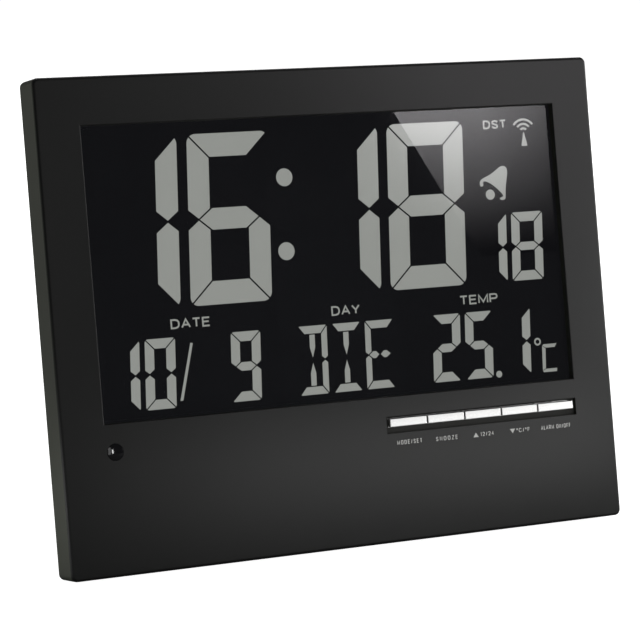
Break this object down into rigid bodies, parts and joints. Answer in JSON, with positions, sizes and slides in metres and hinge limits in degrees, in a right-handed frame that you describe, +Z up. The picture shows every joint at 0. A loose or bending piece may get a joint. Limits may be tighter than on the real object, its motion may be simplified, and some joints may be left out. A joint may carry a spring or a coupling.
{
  "type": "radio-controlled wall clock",
  "caption": "Flat digital clock that leans back on a fold-out leg, with a wide recessed display, a row of silver keys below it, a light sensor and a keyhole for the wall.",
  "frame": {"origin": "on the floor under the middle of the bounding box; the clock stands on the rear rim of its front shell and on the foot of its leg", "axes": "+X to the clock's right as seen from its front, +Y towards its back, +Z up"},
  "size_m": [0.23, 0.0596, 0.1802],
  "materials": {
    "shell": "fine matte charcoal",
    "trim": "fine matte charcoal",
    "lens": "clear, polished",
    "keycap": "silver lacquer",
    "plunger": "matte",
    "dome": "dark smoke",
    "polariser": "smooth film",
    "glass": "polished",
    "guide": "clear, polished",
    "reflector": "white film",
    "board": "green lacquer",
    "lamp": "pale resin",
    "holder": "matte white",
    "rubber_strip": "matte",
    "screw": "zinc",
    "resin": "matte black",
    "can": "nickel plate",
    "sleeve": "shiny sleeve",
    "ferrite": "dull ceramic",
    "coil": "enamelled wire",
    "buzzer": "matte black",
    "photocell": "resin over a pale disc",
    "bead": "resin bead",
    "cell": "printed sleeve"
  },
  "bodies": {
    "case": {"front_case": "shell", "rear_case": "shell", "display_lens": "lens", "sensor_lens": "dome", "front_polariser": "polariser", "rear_polariser": "polariser", "front_glass": "glass", "rear_glass": "glass", "light_guide": "guide", "reflector_sheet": "reflector", "main_board": "board", "receiver_board": "board", "key_board": "board", "sensor_board": "board", "led_strip": "board", "led_lamps": "lamp", "display_holder": "holder", "antenna_saddles": "holder", "contact_strips": "rubber_strip", "holder_screws": "screw", "board_screws": "screw", "case_screws": "screw", "stand_pin": "screw", "controller_chip": "resin", "key_switches": "resin", "clock_crystal": "can", "positive_contact": "can", "negative_contact": "can", "bridge_contacts": "can", "capacitor": "sleeve", "ferrite_rod": "ferrite", "antenna_coil": "coil", "buzzer": "buzzer", "photocell": "photocell", "thermistor": "bead", "battery_1": "cell", "battery_2": "cell", "battery_3": "cell", "battery_4": "cell"},
    "door": {"battery_door": "trim"},
    "leg": {"stand_leg": "trim"},
    "mode_key": {"mode_button": "keycap", "mode_plunger": "plunger"},
    "snooze_key": {"snooze_button": "keycap", "snooze_plunger": "plunger"},
    "up_key": {"up_button": "keycap", "up_plunger": "plunger"},
    "down_key": {"down_button": "keycap", "down_plunger": "plunger"},
    "alarm_key": {"alarm_button": "keycap", "alarm_plunger": "plunger"}
  },
  "joints": [
    {"name": "mode_press", "type": "slide", "parent": "case", "child": "mode_key", "axis": [0, 0.9829, -0.184], "range_m": [0, 0.0006], "stiffness_N_per_m": 1500},
    {"name": "snooze_press", "type": "slide", "parent": "case", "child": "snooze_key", "axis": [0, 0.9829, -0.184], "range_m": [0, 0.0006], "stiffness_N_per_m": 1500},
    {"name": "up_press", "type": "slide", "parent": "case", "child": "up_key", "axis": [0, 0.9829, -0.184], "range_m": [0, 0.0006], "stiffness_N_per_m": 1500},
    {"name": "down_press", "type": "slide", "parent": "case", "child": "down_key", "axis": [0, 0.9829, -0.184], "range_m": [0, 0.0006], "stiffness_N_per_m": 1500},
    {"name": "alarm_press", "type": "slide", "parent": "case", "child": "alarm_key", "axis": [0, 0.9829, -0.184], "range_m": [0, 0.0006], "stiffness_N_per_m": 1500},
    {"name": "leg_fold", "type": "hinge", "parent": "case", "child": "leg", "pos_m": [0, 0.00712, 0.0627], "axis": [1, 0, 0], "range_deg": [-25, 0]},
    {"name": "door_open", "type": "hinge", "parent": "case", "child": "door", "pos_m": [0, 0.01173, 0.07211], "axis": [-1, 0, 0], "range_deg": [0, 60]}
  ]
}
